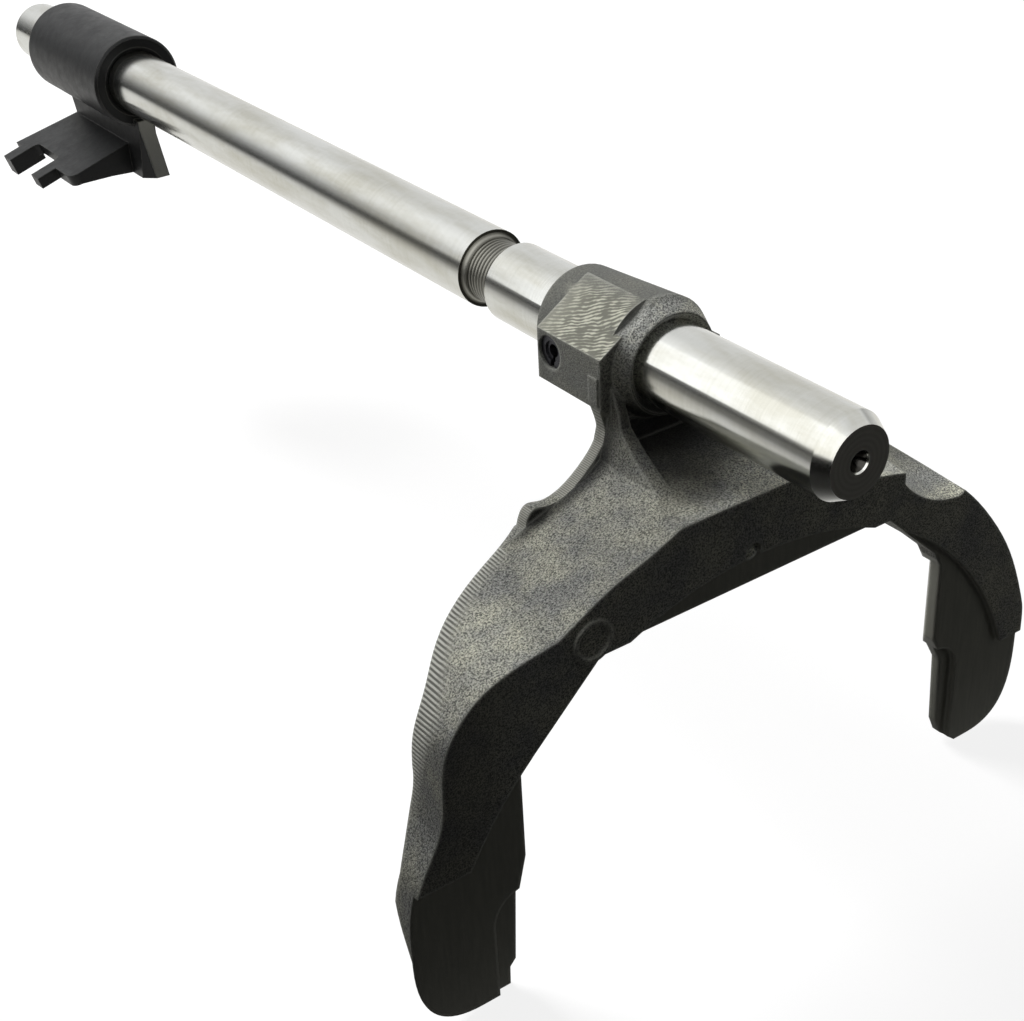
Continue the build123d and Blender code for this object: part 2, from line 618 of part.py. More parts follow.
def gate_rib():
    """Stiffening rib down the plate's near edge, from the lug to the plate's corner."""
    tilt = radians(PLATE_TILT)
    near = plate_near()
    reach = PLATE_REACH - PLATE_CORNER_RADIUS
    corner = (PLATE_ROOT[0] - reach * cos(tilt), PLATE_ROOT[1] - reach * sin(tilt))
    section = Polyline(
        (0, PLATE_ROOT[1] - 1), (0, LUG_BOTTOM), (-GATE_WEB_HALF, LUG_BOTTOM),
        (corner[0] / 2, LUG_BOTTOM + 0.5), (corner[0], corner[1] - PLATE_THICKNESS), (corner[0], corner[1] - 1),
        close=True)
    return seen_along_rail(section, near, near + RIB_THICKNESS)


def selector_gate():
    body = collar() + gate_web() + gate_lug() + gate_plate() + gate_rib()
    bore = RAIL_RADIUS + RAIL_FIT
    end = COLLAR_START + COLLAR_LENGTH
    body -= along_rail(bore, COLLAR_START - 2 * LUG_OVERHANG, end + 1)
    body -= along_rail(bore + COLLAR_MOUTH_CHAMFER, COLLAR_START, COLLAR_START + COLLAR_MOUTH_CHAMFER, bore)
    body -= cross_bar(GATE_PIN_RADIUS + PIN_FIT, GATE_PIN_Y, 0, 2 * COLLAR_RADIUS)
    return body


def gate_pin():
    return spring_pin(
        GATE_PIN_RADIUS, GATE_PIN_WALL, GATE_PIN_SLOT, GATE_PIN_Y, -GATE_PIN_DEPTH, COLLAR_RADIUS - PIN_SINK)


os.makedirs("parts", exist_ok=True)
for piece in (rail, fork, fork_pin, fork_pin_core, selector_gate, gate_pin):
    export_step(piece(), f"parts/{piece.__name__}.step")
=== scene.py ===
"""A gearbox shift fork pinned on its ground rail, with the selector gate near the rail's far end."""
import math

import bpy
from mathutils import Matrix, Vector


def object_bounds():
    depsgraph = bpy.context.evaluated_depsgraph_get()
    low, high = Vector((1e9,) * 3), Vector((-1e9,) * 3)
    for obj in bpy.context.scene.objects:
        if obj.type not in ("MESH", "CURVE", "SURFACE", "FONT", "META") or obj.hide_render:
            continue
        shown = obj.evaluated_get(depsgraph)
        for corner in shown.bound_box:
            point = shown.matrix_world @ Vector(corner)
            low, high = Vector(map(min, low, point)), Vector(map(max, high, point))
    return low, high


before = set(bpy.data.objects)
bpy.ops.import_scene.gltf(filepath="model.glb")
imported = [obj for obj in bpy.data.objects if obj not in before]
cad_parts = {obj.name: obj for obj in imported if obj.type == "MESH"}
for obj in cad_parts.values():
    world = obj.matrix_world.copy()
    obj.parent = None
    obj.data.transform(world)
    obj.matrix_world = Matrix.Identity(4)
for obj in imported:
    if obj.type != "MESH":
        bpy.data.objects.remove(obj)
cad_low, cad_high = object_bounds()

# Rail: a 20 mm bar of case-hardened steel, ground bright between centres, with a turned ring groove
# and centre-drilled ends. Grinding leaves fine lines round the bar, and turning leaves coarser ones.
RAIL_RADIUS = 10.0
RAIL_END_CHAMFER = 3.65
GRIND_LINES_PER_MM = 2.2
TURNED_RING_MM = 1.25
CENTRE_RADIUS = 2.4


def linear(colour):
    """Turns an sRGB hex colour into linear red, green and blue, with an alpha of one."""
    parts = [int(colour[i:i + 2], 16) / 255 for i in (1, 3, 5)]
    return [c / 12.92 if c <= 0.04045 else ((c + 0.055) / 1.055) ** 2.4 for c in parts] + [1.0]


def add(tree, kind, links=None, **settings):
    """Adds one shader node with its own settings. Each link is a value, a node's first output or a socket."""
    node = tree.nodes.new("ShaderNode" + kind)
    for name, value in settings.items():
        setattr(node, name, value)
    for socket, value in (links or {}).items():
        if isinstance(value, bpy.types.Node):
            value = value.outputs[0]
        if isinstance(value, bpy.types.NodeSocket):
            tree.links.new(value, node.inputs[socket])
        else:
            node.inputs[socket].default_value = value
    return node


def start_material(name, metallic, specular=0.5):
    """Makes a material and returns it with its tree, its shader and the place on the piece in millimetres."""
    material = bpy.data.materials.new(name)
    material.use_nodes = True
    tree = material.node_tree
    shader = tree.nodes["Principled BSDF"]
    shader.inputs["Metallic"].default_value = metallic
    shader.inputs["Specular IOR Level"].default_value = specular
    place = add(tree, "VectorMath", {0: add(tree, "TexCoord").outputs["Object"], "Scale": 1000.0}, operation="SCALE")
    return material, tree, shader, place


def wear_material(node, material):
    """Gives a CAD node this one material."""
    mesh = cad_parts[node].data
    mesh.materials.clear()
    mesh.materials.append(material)


def ground_steel():
    """Bright ground bar: a cool pale grey with a sharp long highlight, darker where it is only turned."""
    material, tree, shader, place = start_material("ground_steel", metallic=1.0)
    axes = add(tree, "SeparateXYZ", {0: place})
    along = axes.outputs["Y"]
    flat = add(tree, "VectorMath", {0: place, 1: (1.0, 0.0, 1.0)}, operation="MULTIPLY")
    reach = add(tree, "VectorMath", {0: flat}, operation="LENGTH").outputs["Value"]

    # fine rings from the grinding wheel, drawn as coarse as shows in the render, and long smears of tone
    lines_at = add(tree, "VectorMath", {0: place, 1: (0.06, GRIND_LINES_PER_MM, 0.06)}, operation="MULTIPLY")
    lines = add(tree, "TexNoise", {"Vector": lines_at, "Scale": 1.0, "Detail": 3.0, "Roughness": 0.6})
    smears_at = add(tree, "VectorMath", {0: place, 1: (0.12, 0.03, 0.12)}, operation="MULTIPLY")
    smears = add(tree, "TexNoise", {"Vector": smears_at, "Scale": 1.0, "Detail": 4.0, "Roughness": 0.6})
    tone = add(tree, "ValToRGB", {0: smears})
    tone.color_ramp.elements[0].position = 0.35
    tone.color_ramp.elements[0].color = linear("#c3c2b8")
    tone.color_ramp.elements[1].position = 0.6
    tone.color_ramp.elements[1].color = linear("#d6d7d3")
    ground = add(tree, "Mix", {0: 0.14, 6: tone, 7: lines.outputs["Fac"]}, data_type="RGBA", blend_type="OVERLAY")

    # the turned groove and the end faces keep the tool's rings
    below = add(tree, "Math", {0: reach, 1: RAIL_RADIUS - 0.12}, operation="LESS_THAN")
    past_end = add(tree, "Math", {0: along, 1: RAIL_END_CHAMFER + 1.0}, operation="GREATER_THAN")
    groove = add(tree, "Math", {0: below, 1: past_end}, operation="MULTIPLY")
    end_face = add(tree, "Math", {0: along, 1: 0.05}, operation="LESS_THAN")
    rings_from = add(tree, "Mix", {0: end_face, 2: along, 3: reach}, data_type="FLOAT")
    turns = add(tree, "Math", {0: rings_from, 1: 2 * math.pi / TURNED_RING_MM}, operation="MULTIPLY")
    rings = add(tree, "Math", {0: turns}, operation="SINE")
    turned = add(tree, "Math", {0: groove, 1: end_face}, operation="MAXIMUM")
    wave = add(tree, "Math", {0: rings, 1: 0.5, 2: 0.5}, operation="MULTIPLY_ADD")
    groove_tone = add(tree, "Mix", {0: wave, 6: linear("#5d5c55"), 7: linear("#98978f")}, data_type="RGBA")
    face_tone = add(tree, "Mix", {0: wave, 6: linear("#afaea7"), 7: linear("#b9b8b1")}, data_type="RGBA")
    turned_tone = add(tree, "Mix", {0: end_face, 6: groove_tone.outputs[2], 7: face_tone.outputs[2]},
                      data_type="RGBA")
    colour = add(tree, "Mix", {0: turned, 6: ground.outputs[2], 7: turned_tone.outputs[2]}, data_type="RGBA")
    # painted shade: the inside of the centre holes is painted dark
    centre_hole_shade = add(tree, "Math", {0: reach, 1: CENTRE_RADIUS}, operation="LESS_THAN")
    colour = add(tree, "Mix", {0: centre_hole_shade, 6: colour.outputs[2], 7: linear("#3c3b38")}, data_type="RGBA")
    rough_ground = add(tree, "MapRange", {0: smears, 1: 0.3, 2: 0.7, 3: 0.21, 4: 0.16})
    rough_turned = add(tree, "Mix", {0: end_face, 2: 0.42, 3: 0.30}, data_type="FLOAT")
    rough = add(tree, "Mix", {0: turned, 2: rough_ground, 3: rough_turned}, data_type="FLOAT")
    ring_height = add(tree, "Mix", {0: end_face, 2: 1.0, 3: 0.08}, data_type="FLOAT")
    ring_height = add(tree, "Math", {0: ring_height, 1: rings}, operation="MULTIPLY")
    ring_height = add(tree, "Math", {0: ring_height, 1: turned}, operation="MULTIPLY")
    height = add(tree, "Math", {0: lines.outputs["Fac"], 1: 0.05, 2: ring_height}, operation="MULTIPLY_ADD")
    bump = add(tree, "Bump", {"Strength": 0.6, "Distance": 0.00012, "Height": height})
    tree.links.new(colour.outputs[2], shader.inputs["Base Color"])
    tree.links.new(rough.outputs[0], shader.inputs["Roughness"])
    tree.links.new(bump.outputs[0], shader.inputs["Normal"])
    return material


wear_material("rail", ground_steel())


# Fork: one casting in ductile iron, shot-blasted grey, then machined on the pads and round the sleeve.
# Flash is ground off along the left arm and the web, and a facet is ground on the hub by hand.
PAD_FRONT = 31.0
PAD_BACK = 37.0
FACET_FOOT = (-17.2, 4.8)
FACET_ANGLE = 32.0
FACET_NORMAL = (-0.530, 0.0, 0.848)
NOSE_BACK = 63.3
STROKE_PITCH = 0.95
GRAIN_PER_MM = 2.4
HATCH_CENTRE = (-35.0, -85.0)
HATCH_RADIUS = 55.0
HATCH_PITCH = 0.95
REAR_EDGE = (44.0, 62.6, 0.33, 0.0076, 41.0)
TICK_PITCH = 0.7
# centres of the painted shade in the pocket behind the neck and of the painted shadow patch in front of it
POCKET_CENTRE = (-2.0, 62.0, -12.0)
SHADOW_PATCH_CENTRE = (-7.5, 42.0, -20.0)


def cast_iron():
    """Shot-blasted iron: grainy mid grey with bright ridges, partly worn and partly a painted edge highlight, smoother
    and darker where machined.
    """
    material, tree, shader, place = start_material("shot_blasted_iron", metallic=0.3, specular=0.4)
    axes = add(tree, "SeparateXYZ", {0: place})
    x, y, z = (axes.outputs[name] for name in "XYZ")
    flat_normal = add(tree, "NewGeometry").outputs["True Normal"]
    facing = add(tree, "SeparateXYZ", {0: flat_normal})
    nx, ny = facing.outputs["X"], facing.outputs["Y"]

    # blasted grain over a slow drift between neutral grey and a warmer tone
    grain = add(tree, "TexNoise", {"Vector": place, "Scale": GRAIN_PER_MM, "Detail": 3.0, "Roughness": 0.7})
    drift = add(tree, "TexNoise", {"Vector": place, "Scale": 0.09, "Detail": 4.0, "Roughness": 0.6})
    grain_tone = add(tree, "ValToRGB", {0: grain})
    grain_tone.color_ramp.elements[0].position = 0.39
    grain_tone.color_ramp.elements[0].color = linear("#494a48")
    grain_tone.color_ramp.elements[1].position = 0.61
    grain_tone.color_ramp.elements[1].color = linear("#bdbdb6")
    drift_tone = add(tree, "ValToRGB", {0: drift})
    drift_tone.color_ramp.elements[0].position = 0.38
    drift_tone.color_ramp.elements[0].color = linear("#d2d3d5")
    drift_tone.color_ramp.elements[1].position = 0.62
    drift_tone.color_ramp.elements[1].color = linear("#fffef3")
    cast = add(tree, "Mix", {0: 1.0, 6: grain_tone, 7: drift_tone}, data_type="RGBA", blend_type="MULTIPLY")

    # the hub is smoother than the arms, and darker behind its nose; the up-facing top of the nose is painted lighter, a
    # painted highlight
    hub_high = add(tree, "Math", {0: z, 1: -13.0}, operation="GREATER_THAN")
    hub_back = add(tree, "MapRange", {0: y, 1: 60.0, 2: 63.5, 3: 0.0, 4: 1.0})
    hub_back = add(tree, "Math", {0: hub_high, 1: hub_back}, operation="MULTIPLY")
    calm = add(tree, "Math", {0: hub_back, 1: 0.6}, operation="MULTIPLY")
    cast = add(tree, "Mix", {0: calm, 6: cast.outputs[2], 7: linear("#878882")}, data_type="RGBA")
    hub_dim = add(tree, "MapRange", {0: hub_back, 1: 0.0, 2: 1.0, 3: 1.0, 4: 0.66})
    upward = add(tree, "MapRange", {0: facing.outputs["Z"], 1: 0.3, 2: 0.6, 3: 0.0, 4: 0.6})
    # painted highlight: up-facing faces on top of the nose are lightened up to 2.2 times
    nose_top_highlight = add(tree, "Math", {0: z, 1: 0.0}, operation="GREATER_THAN")
    nose_top_highlight = add(tree, "Math", {0: nose_top_highlight, 1: upward}, operation="MULTIPLY")
    nose_top_highlight = add(tree, "Math", {0: nose_top_highlight, 1: 2.0}, operation="MULTIPLY")
    nose_dim = add(tree, "Math", {0: nose_top_highlight, 1: hub_dim, 2: hub_dim}, operation="MULTIPLY_ADD")
    hub_dim = add(tree, "Mix", {0: hub_back, 2: nose_dim, 3: hub_dim}, data_type="FLOAT")

    # painted shade and light: the arms' sides low down and the faces that look forward are painted darker, and so are
    # the pocket behind the neck, a patch in front of it and a band along the web; the crown of the left shoulder and
    # the rim under the rail are painted lighter
    # painted shade: faces that look forward are painted darker, most on the left
    forward = add(tree, "Math", {0: ny, 1: -0.9}, operation="LESS_THAN")
    painted_front_shade = add(tree, "MapRange", {0: x, 1: -72.0, 2: -35.0, 3: 0.32, 4: 0.6})
    dim = add(tree, "Mix", {0: forward, 2: 1.0, 3: painted_front_shade}, data_type="FLOAT")
    # painted shade: faces looking left low on the arms are painted darker
    beside = add(tree, "MapRange", {0: nx, 1: -0.80, 2: -0.94, 3: 1.0, 4: 0.44})
    low_down = add(tree, "MapRange", {0: z, 1: -36.0, 2: -44.0, 3: 0.0, 4: 1.0})
    beside = add(tree, "Mix", {0: low_down, 2: 1.0, 3: beside}, data_type="FLOAT")
    dim = add(tree, "Math", {0: dim, 1: beside}, operation="MULTIPLY")
    dim = add(tree, "Math", {0: dim, 1: hub_dim}, operation="MULTIPLY")
    # painted shade: the pocket behind the neck is painted darker, most near its centre
    from_pocket = add(tree, "VectorMath", {0: place, 1: POCKET_CENTRE}, operation="DISTANCE").outputs["Value"]
    painted_pocket_shade = add(tree, "MapRange", {0: from_pocket, 1: 9.5, 2: 22.0, 3: 0.1, 4: 1.0})
    # painted shadow: a round patch on the shelf in front of the pocket is painted darker
    from_shadow_patch = add(tree, "VectorMath", {0: place, 1: SHADOW_PATCH_CENTRE}, operation="DISTANCE").outputs["Value"]
    painted_shadow_patch = add(tree, "MapRange", {0: from_shadow_patch, 1: 3.0, 2: 12.5, 3: 0.34, 4: 1.0}, interpolation_type="SMOOTHSTEP")
    painted_pocket_shade = add(tree, "Math", {0: painted_pocket_shade, 1: painted_shadow_patch}, operation="MULTIPLY")
    painted_pocket_shade = add(tree, "Mix", {0: hub_back, 2: painted_pocket_shade, 3: 1.0}, data_type="FLOAT")
    dim = add(tree, "Math", {0: dim, 1: painted_pocket_shade}, operation="MULTIPLY")
    # painted shade: a band along the front of the web, left of the neck, is painted darker
    painted_crease_shade = add(tree, "MapRange", {0: y, 1: 56.5, 2: 60.5, 3: 1.0, 4: 0.2}, interpolation_type="SMOOTHSTEP")
    by_web = add(tree, "MapRange", {0: x, 1: -12.0, 2: -16.0, 3: 0.0, 4: 1.0})
    web_part = add(tree, "MapRange", {0: x, 1: -45.0, 2: -39.0, 3: 0.0, 4: 1.0})
    by_web = add(tree, "Math", {0: by_web, 1: web_part}, operation="MULTIPLY")
    web_part = add(tree, "MapRange", {0: z, 1: -9.0, 2: -13.0, 3: 0.0, 4: 1.0})
    by_web = add(tree, "Math", {0: by_web, 1: web_part}, operation="MULTIPLY")
    web_part = add(tree, "Math", {0: y, 1: 62.0}, operation="LESS_THAN")
    by_web = add(tree, "Math", {0: by_web, 1: web_part}, operation="MULTIPLY")
    painted_crease_shade = add(tree, "Mix", {0: by_web, 2: 1.0, 3: painted_crease_shade}, data_type="FLOAT")
    dim = add(tree, "Math", {0: dim, 1: painted_crease_shade}, operation="MULTIPLY")
    # painted light: the crown of the left shoulder is painted up to half as light again
    crown = add(tree, "Math", {0: x, 1: 1 / 11.0, 2: 64.0 / 11.0}, operation="MULTIPLY_ADD")
    crown = add(tree, "Math", {0: add(tree, "Math", {0: crown, 1: crown}, operation="MULTIPLY"), 1: -1.0},
                operation="MULTIPLY")
    crown = add(tree, "Math", {0: crown}, operation="EXPONENT")
    painted_crown_light = add(tree, "Math", {0: crown, 1: 0.5, 2: 1.0}, operation="MULTIPLY_ADD")
    dim = add(tree, "Math", {0: dim, 1: painted_crown_light}, operation="MULTIPLY")
    # painted light: up-facing faces at the front under the rail are painted lighter
    painted_light_under_rail = add(tree, "MapRange", {0: y, 1: 38.0, 2: 46.0, 3: 0.6, 4: 0.0})
    rim_side = add(tree, "MapRange", {0: x, 1: -20.0, 2: 0.0, 3: 0.0, 4: 1.0})
    painted_light_under_rail = add(tree, "Math", {0: painted_light_under_rail, 1: rim_side}, operation="MULTIPLY")
    painted_light_under_rail = add(tree, "Math", {0: painted_light_under_rail, 1: upward}, operation="MULTIPLY")
    painted_light_under_rail = add(tree, "Math", {0: painted_light_under_rail, 1: 3.0, 2: 1.0}, operation="MULTIPLY_ADD")
    dim = add(tree, "Math", {0: dim, 1: painted_light_under_rail}, operation="MULTIPLY")
    cast = add(tree, "Mix", {0: 1.0, 6: cast.outputs[2], 7: dim}, data_type="RGBA", blend_type="MULTIPLY")

    # machined faces: pads in front and behind, milled steps, and the inner edges of the gap
    rearward = add(tree, "Math", {0: ny, 1: 0.9}, operation="GREATER_THAN")
    at_front = add(tree, "Math", {0: y, 1: PAD_FRONT - 0.3}, operation="GREATER_THAN")
    front_near = add(tree, "Math", {0: y, 1: PAD_FRONT + 2.0}, operation="LESS_THAN")
    front = add(tree, "Math", {0: at_front, 1: front_near}, operation="MULTIPLY")
    front = add(tree, "Math", {0: front, 1: forward}, operation="MULTIPLY")
    back_near = add(tree, "Math", {0: y, 1: PAD_BACK, 2: 2.3}, operation="COMPARE")
    back = add(tree, "Math", {0: back_near, 1: rearward}, operation="MULTIPLY")
    inward = add(tree, "Math", {0: add(tree, "Math", {0: x, 1: nx}, operation="MULTIPLY"), 1: -30.0},
                 operation="LESS_THAN")
    low = add(tree, "Math", {0: z, 1: -64.0}, operation="LESS_THAN")
    inner = add(tree, "Math", {0: inward, 1: low}, operation="MULTIPLY")
    machined = add(tree, "Math", {0: front, 1: back}, operation="MAXIMUM")
    machined = add(tree, "Math", {0: machined, 1: inner}, operation="MAXIMUM")
    mill_at = add(tree, "VectorMath", {0: place, 1: (1.4, 0.5, 0.12)}, operation="MULTIPLY")
    mill = add(tree, "TexNoise", {"Vector": mill_at, "Scale": 1.0, "Detail": 3.0, "Roughness": 0.6})
    milled = add(tree, "ValToRGB", {0: mill})
    milled.color_ramp.elements[0].position = 0.3
    milled.color_ramp.elements[0].color = linear("#72726a")
    milled.color_ramp.elements[1].position = 0.7
    milled.color_ramp.elements[1].color = linear("#7e7e75")
    colour = add(tree, "Mix", {0: machined, 6: cast.outputs[2], 7: milled}, data_type="RGBA")

    # hand-ground facet on the hub, with wavy scratches across it
    slope = math.tan(math.radians(FACET_ANGLE))
    facet_z = add(tree, "Math", {0: x, 1: slope, 2: FACET_FOOT[1] - FACET_FOOT[0] * slope}, operation="MULTIPLY_ADD")
    over_plane = add(tree, "Math", {0: z, 1: facet_z}, operation="SUBTRACT")
    off_plane = add(tree, "Math", {0: add(tree, "Math", {0: over_plane, 1: 0.6}, operation="SUBTRACT")},
                    operation="ABSOLUTE")
    on_plane = add(tree, "MapRange", {0: off_plane, 1: 0.75, 2: 1.0, 3: 1.0, 4: 0.0})
    on_hub = add(tree, "Math", {0: x, 1: -10.0, 2: 12.0}, operation="COMPARE")
    on_boss = add(tree, "Math", {0: x, 1: -11.2}, operation="LESS_THAN")
    behind_nose = add(tree, "Math", {0: y, 1: NOSE_BACK}, operation="GREATER_THAN")
    in_place = add(tree, "Math", {0: on_boss, 1: behind_nose}, operation="MAXIMUM")
    facet = add(tree, "Math", {0: on_plane, 1: on_hub}, operation="MULTIPLY")
    facet = add(tree, "Math", {0: facet, 1: in_place}, operation="MULTIPLY")
    leaning = add(tree, "VectorMath", {0: flat_normal, 1: FACET_NORMAL}, operation="DOT_PRODUCT").outputs["Value"]
    leaning = add(tree, "MapRange", {0: leaning, 1: 0.92, 2: 0.95, 3: 0.0, 4: 1.0})
    facet = add(tree, "Math", {0: facet, 1: leaning}, operation="MULTIPLY")
    up_facet = add(tree, "MapRange", {0: x, 1: -7.5, 2: -2.5, 3: 1.0, 4: 0.3}, interpolation_type="SMOOTHSTEP")
    to_back = add(tree, "MapRange", {0: y, 1: 78.0, 2: 90.0, 3: 1.0, 4: 0.35}, interpolation_type="SMOOTHSTEP")
    facet_shade = add(tree, "Math", {0: up_facet, 1: to_back}, operation="MULTIPLY")
    facet_shade = add(tree, "Math", {0: facet_shade, 1: facet}, operation="MULTIPLY")
    sway = add(tree, "TexNoise", {"Vector": place, "Scale": 0.22, "Detail": 2.0})
    swayed = add(tree, "Math", {0: sway, 1: 2.0}, operation="MULTIPLY")
    strokes_at = add(tree, "Math", {0: y, 1: 0.475, 2: swayed}, operation="MULTIPLY_ADD")
    strokes_at = add(tree, "Math", {0: x, 1: 1.04, 2: strokes_at}, operation="MULTIPLY_ADD")
    strokes = add(tree, "Math", {0: strokes_at, 1: 2 * math.pi / STROKE_PITCH}, operation="MULTIPLY")
    strokes = add(tree, "Math", {0: strokes}, operation="SINE")
    broken = add(tree, "TexNoise", {"Vector": place, "Scale": 0.4, "Detail": 2.0})
    strokes = add(tree, "Math", {0: broken, 1: 6.0, 2: strokes}, operation="MULTIPLY_ADD")
    stroke_mask = add(tree, "MapRange", {0: strokes, 1: 2.9, 2: 4.3, 3: 0.0, 4: 1.0})
    deep = add(tree, "MapRange", {0: y, 1: 88.0, 2: 76.0, 3: 0.25, 4: 1.0})
    stroke_mask = add(tree, "Mix", {0: deep, 2: 0.55, 3: stroke_mask}, data_type="FLOAT")
    facet_tone = add(tree, "Mix", {0: stroke_mask, 6: linear("#6c6c62"), 7: linear("#bcbcac")}, data_type="RGBA")
    colour = add(tree, "Mix", {0: facet_shade, 6: colour.outputs[2], 7: facet_tone.outputs[2]}, data_type="RGBA")

    # flash ground off in short strokes that run forward from the left arm's rear edge, longest at the shoulder
    angle = add(tree, "Math", {
        0: add(tree, "Math", {0: z, 1: HATCH_CENTRE[1]}, operation="SUBTRACT"),
        1: add(tree, "Math", {0: x, 1: HATCH_CENTRE[0]}, operation="SUBTRACT")}, operation="ARCTAN2")
    wander = add(tree, "Math", {0: sway, 1: 0.008, 2: angle}, operation="MULTIPLY_ADD")
    hatch = add(tree, "Math", {0: wander, 1: 2 * math.pi * HATCH_RADIUS / HATCH_PITCH}, operation="MULTIPLY")
    hatch = add(tree, "Math", {0: hatch}, operation="SINE")
    out_from, edge_y, edge_slope, edge_curve, edge_least = REAR_EDGE
    out = add(tree, "Math", {0: x, 1: -1.0, 2: -out_from}, operation="MULTIPLY_ADD")
    bend = add(tree, "Math", {0: out, 1: -edge_curve, 2: -edge_slope}, operation="MULTIPLY_ADD")
    rear_edge = add(tree, "Math", {0: out, 1: bend, 2: edge_y}, operation="MULTIPLY_ADD")
    rear_edge = add(tree, "Math", {0: rear_edge, 1: edge_least}, operation="MAXIMUM")
    from_edge = add(tree, "Math", {0: rear_edge, 1: y}, operation="SUBTRACT")
    longest = add(tree, "Math", {0: z, 1: 46.0}, operation="ADD")
    longest = add(tree, "Math", {0: longest, 1: longest}, operation="MULTIPLY")
    longest = add(tree, "Math", {0: add(tree, "Math", {0: longest, 1: -0.008}, operation="MULTIPLY")},
                  operation="EXPONENT")
    reach = add(tree, "MapRange", {0: longest, 1: 0.0, 2: 1.0, 3: 3.2, 4: 7.5})
    ragged = add(tree, "Math", {0: grain, 1: 4.0, 2: -2.0}, operation="MULTIPLY_ADD")
    reach = add(tree, "Math", {0: reach, 1: ragged}, operation="ADD")
    short = add(tree, "Math", {0: reach, 1: from_edge}, operation="SUBTRACT")
    edge = add(tree, "MapRange", {0: short, 1: -0.5, 2: 3.5, 3: 0.0, 4: 1.0})
    left = add(tree, "Math", {0: x, 1: -45.0}, operation="LESS_THAN")
    high = add(tree, "MapRange", {0: z, 1: -74.0, 2: -60.0, 3: 0.0, 4: 1.0})
    edge = add(tree, "Math", {0: edge, 1: left}, operation="MULTIPLY")
    edge = add(tree, "Math", {0: edge, 1: high}, operation="MULTIPLY")
    hatch_mask = add(tree, "MapRange", {0: hatch, 1: -0.5, 2: 0.6, 3: 0.0, 4: 1.0})
    hatch_tone = add(tree, "Mix", {0: hatch_mask, 6: linear("#686862"), 7: linear("#c9c9c1")}, data_type="RGBA")
    colour = add(tree, "Mix", {0: edge, 6: colour.outputs[2], 7: hatch_tone.outputs[2]}, data_type="RGBA")

    # finer ticks across the thin edge of the web
    web_depth = add(tree, "Math", {0: y, 1: 63.4, 2: 1.7}, operation="COMPARE")
    web_side = add(tree, "Math", {0: add(tree, "Math", {0: nx}, operation="ABSOLUTE"), 1: 0.3}, operation="GREATER_THAN")
    web_low = add(tree, "Math", {0: z, 1: -8.0}, operation="LESS_THAN")
    web_edge = add(tree, "Math", {0: web_depth, 1: web_side}, operation="MULTIPLY")
    web_edge = add(tree, "Math", {0: web_edge, 1: web_low}, operation="MULTIPLY")
    ticks = add(tree, "Math", {0: x, 1: z}, operation="ADD")
    ticks = add(tree, "Math", {0: add(tree, "Math", {0: ticks, 1: 2 * math.pi / TICK_PITCH}, operation="MULTIPLY")},
                operation="SINE")
    tick_mask = add(tree, "MapRange", {0: ticks, 1: -0.8, 2: 0.8, 3: 0.0, 4: 1.0})
    tick_tone = add(tree, "Mix", {0: tick_mask, 6: linear("#75756e"), 7: linear("#a5a59d")}, data_type="RGBA")
    colour = add(tree, "Mix", {0: web_edge, 6: colour.outputs[2], 7: tick_tone.outputs[2]}, data_type="RGBA")

    # ridges are lightened, partly as rubbed wear and partly as a painted edge highlight: the shading normal round an
    # edge departs from the face's own
    softened = add(tree, "Bevel", {"Radius": 0.0014}, samples=6)
    kept = add(tree, "VectorMath", {0: softened, 1: flat_normal}, operation="DOT_PRODUCT").outputs["Value"]
    brightened_edges = add(tree, "MapRange", {0: kept, 1: 0.985, 2: 0.84, 3: 0.0, 4: 0.42})
    colour = add(tree, "Mix", {0: brightened_edges, 6: colour.outputs[2], 7: linear("#b4b5ad")}, data_type="RGBA")

    # machined faces are smoother, and cast ones that look forward are less pitted than the tops
    smooth = add(tree, "Math", {0: machined, 1: facet}, operation="MAXIMUM")
    rough = add(tree, "Mix", {0: smooth, 2: 0.62, 3: 0.42}, data_type="FLOAT")
    depth = add(tree, "Mix", {0: forward, 2: 1.0, 3: 0.35}, data_type="FLOAT")
    grain_height = add(tree, "Math", {0: grain, 1: depth}, operation="MULTIPLY")
    smooth_height = add(tree, "Math", {0: mill, 1: 0.05}, operation="MULTIPLY")
    height = add(tree, "Mix", {0: smooth, 2: grain_height, 3: smooth_height}, data_type="FLOAT")
    cut = add(tree, "Math", {0: hatch_mask, 1: edge}, operation="MULTIPLY")
    height = add(tree, "Math", {0: cut, 1: 0.3, 2: height}, operation="MULTIPLY_ADD")
    lying = add(tree, "Mix", {0: facet, 4: softened, 5: FACET_NORMAL}, data_type="VECTOR")
    bump = add(tree, "Bump", {"Strength": 0.7, "Distance": 0.0005, "Height": height, "Normal": lying.outputs[1]})
    tree.links.new(colour.outputs[2], shader.inputs["Base Color"])
    tree.links.new(rough.outputs[0], shader.inputs["Roughness"])
    tree.links.new(bump.outputs[0], shader.inputs["Normal"])
    return material


wear_material("fork", cast_iron())


